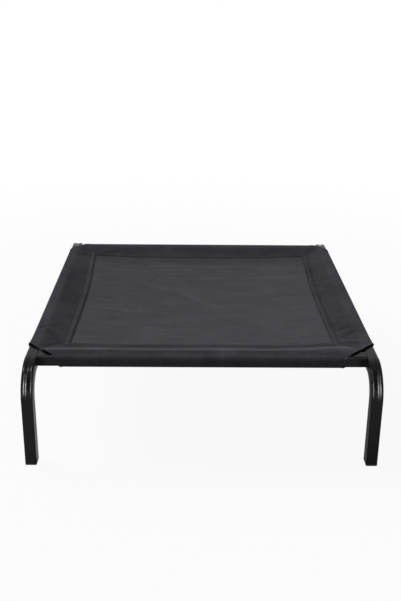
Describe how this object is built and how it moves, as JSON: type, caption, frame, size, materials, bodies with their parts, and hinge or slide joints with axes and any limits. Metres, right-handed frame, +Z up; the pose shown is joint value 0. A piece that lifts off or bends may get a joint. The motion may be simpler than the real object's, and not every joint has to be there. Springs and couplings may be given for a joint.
{
  "type": "raised dog cot",
  "caption": "Low raised pet cot: bent steel-tube leg frames joined by bolted crossbars, with a sewn sling of mesh and border sleeves stretched between them.",
  "frame": {"origin": "on the floor in the middle of the cot, under the centre of the sling", "axes": "+X to the right, +Y from the front legs to the rear legs, +Z up"},
  "size_m": [0.6128, 0.76, 0.1814],
  "materials": {
    "powder_coated_tube": "smooth semi-gloss black powder coat",
    "zinc_plated_steel": "bright zinc plate",
    "moulded_cap": "fine moulded grain, black",
    "sleeve_cloth": "close plain-woven coated polyester, charcoal",
    "mesh": "coated open-weave mesh, dark grey"
  },
  "bodies": {
    "root": {"left_leg_frame": "powder_coated_tube", "right_leg_frame": "powder_coated_tube", "front_crossbar": "powder_coated_tube", "rear_crossbar": "powder_coated_tube", "mesh_panel": "mesh", "front_sleeve": "sleeve_cloth", "rear_sleeve": "sleeve_cloth", "left_sleeve": "sleeve_cloth", "right_sleeve": "sleeve_cloth", "threaded_plug_front_left": "zinc_plated_steel", "threaded_plug_front_right": "zinc_plated_steel", "threaded_plug_rear_left": "zinc_plated_steel", "threaded_plug_rear_right": "zinc_plated_steel", "bolt_front_left": "zinc_plated_steel", "bolt_front_right": "zinc_plated_steel", "bolt_rear_left": "zinc_plated_steel", "bolt_rear_right": "zinc_plated_steel", "flat_washer_front_left": "zinc_plated_steel", "flat_washer_front_right": "zinc_plated_steel", "flat_washer_rear_left": "zinc_plated_steel", "flat_washer_rear_right": "zinc_plated_steel", "spring_washer_front_left": "zinc_plated_steel", "spring_washer_front_right": "zinc_plated_steel", "spring_washer_rear_left": "zinc_plated_steel", "spring_washer_rear_right": "zinc_plated_steel", "hole_cap_front_left": "moulded_cap", "hole_cap_front_right": "moulded_cap", "hole_cap_rear_left": "moulded_cap", "hole_cap_rear_right": "moulded_cap", "foot_cap_front_left": "moulded_cap", "foot_cap_front_right": "moulded_cap", "foot_cap_rear_left": "moulded_cap", "foot_cap_rear_right": "moulded_cap"}
  },
  "joints": []
}
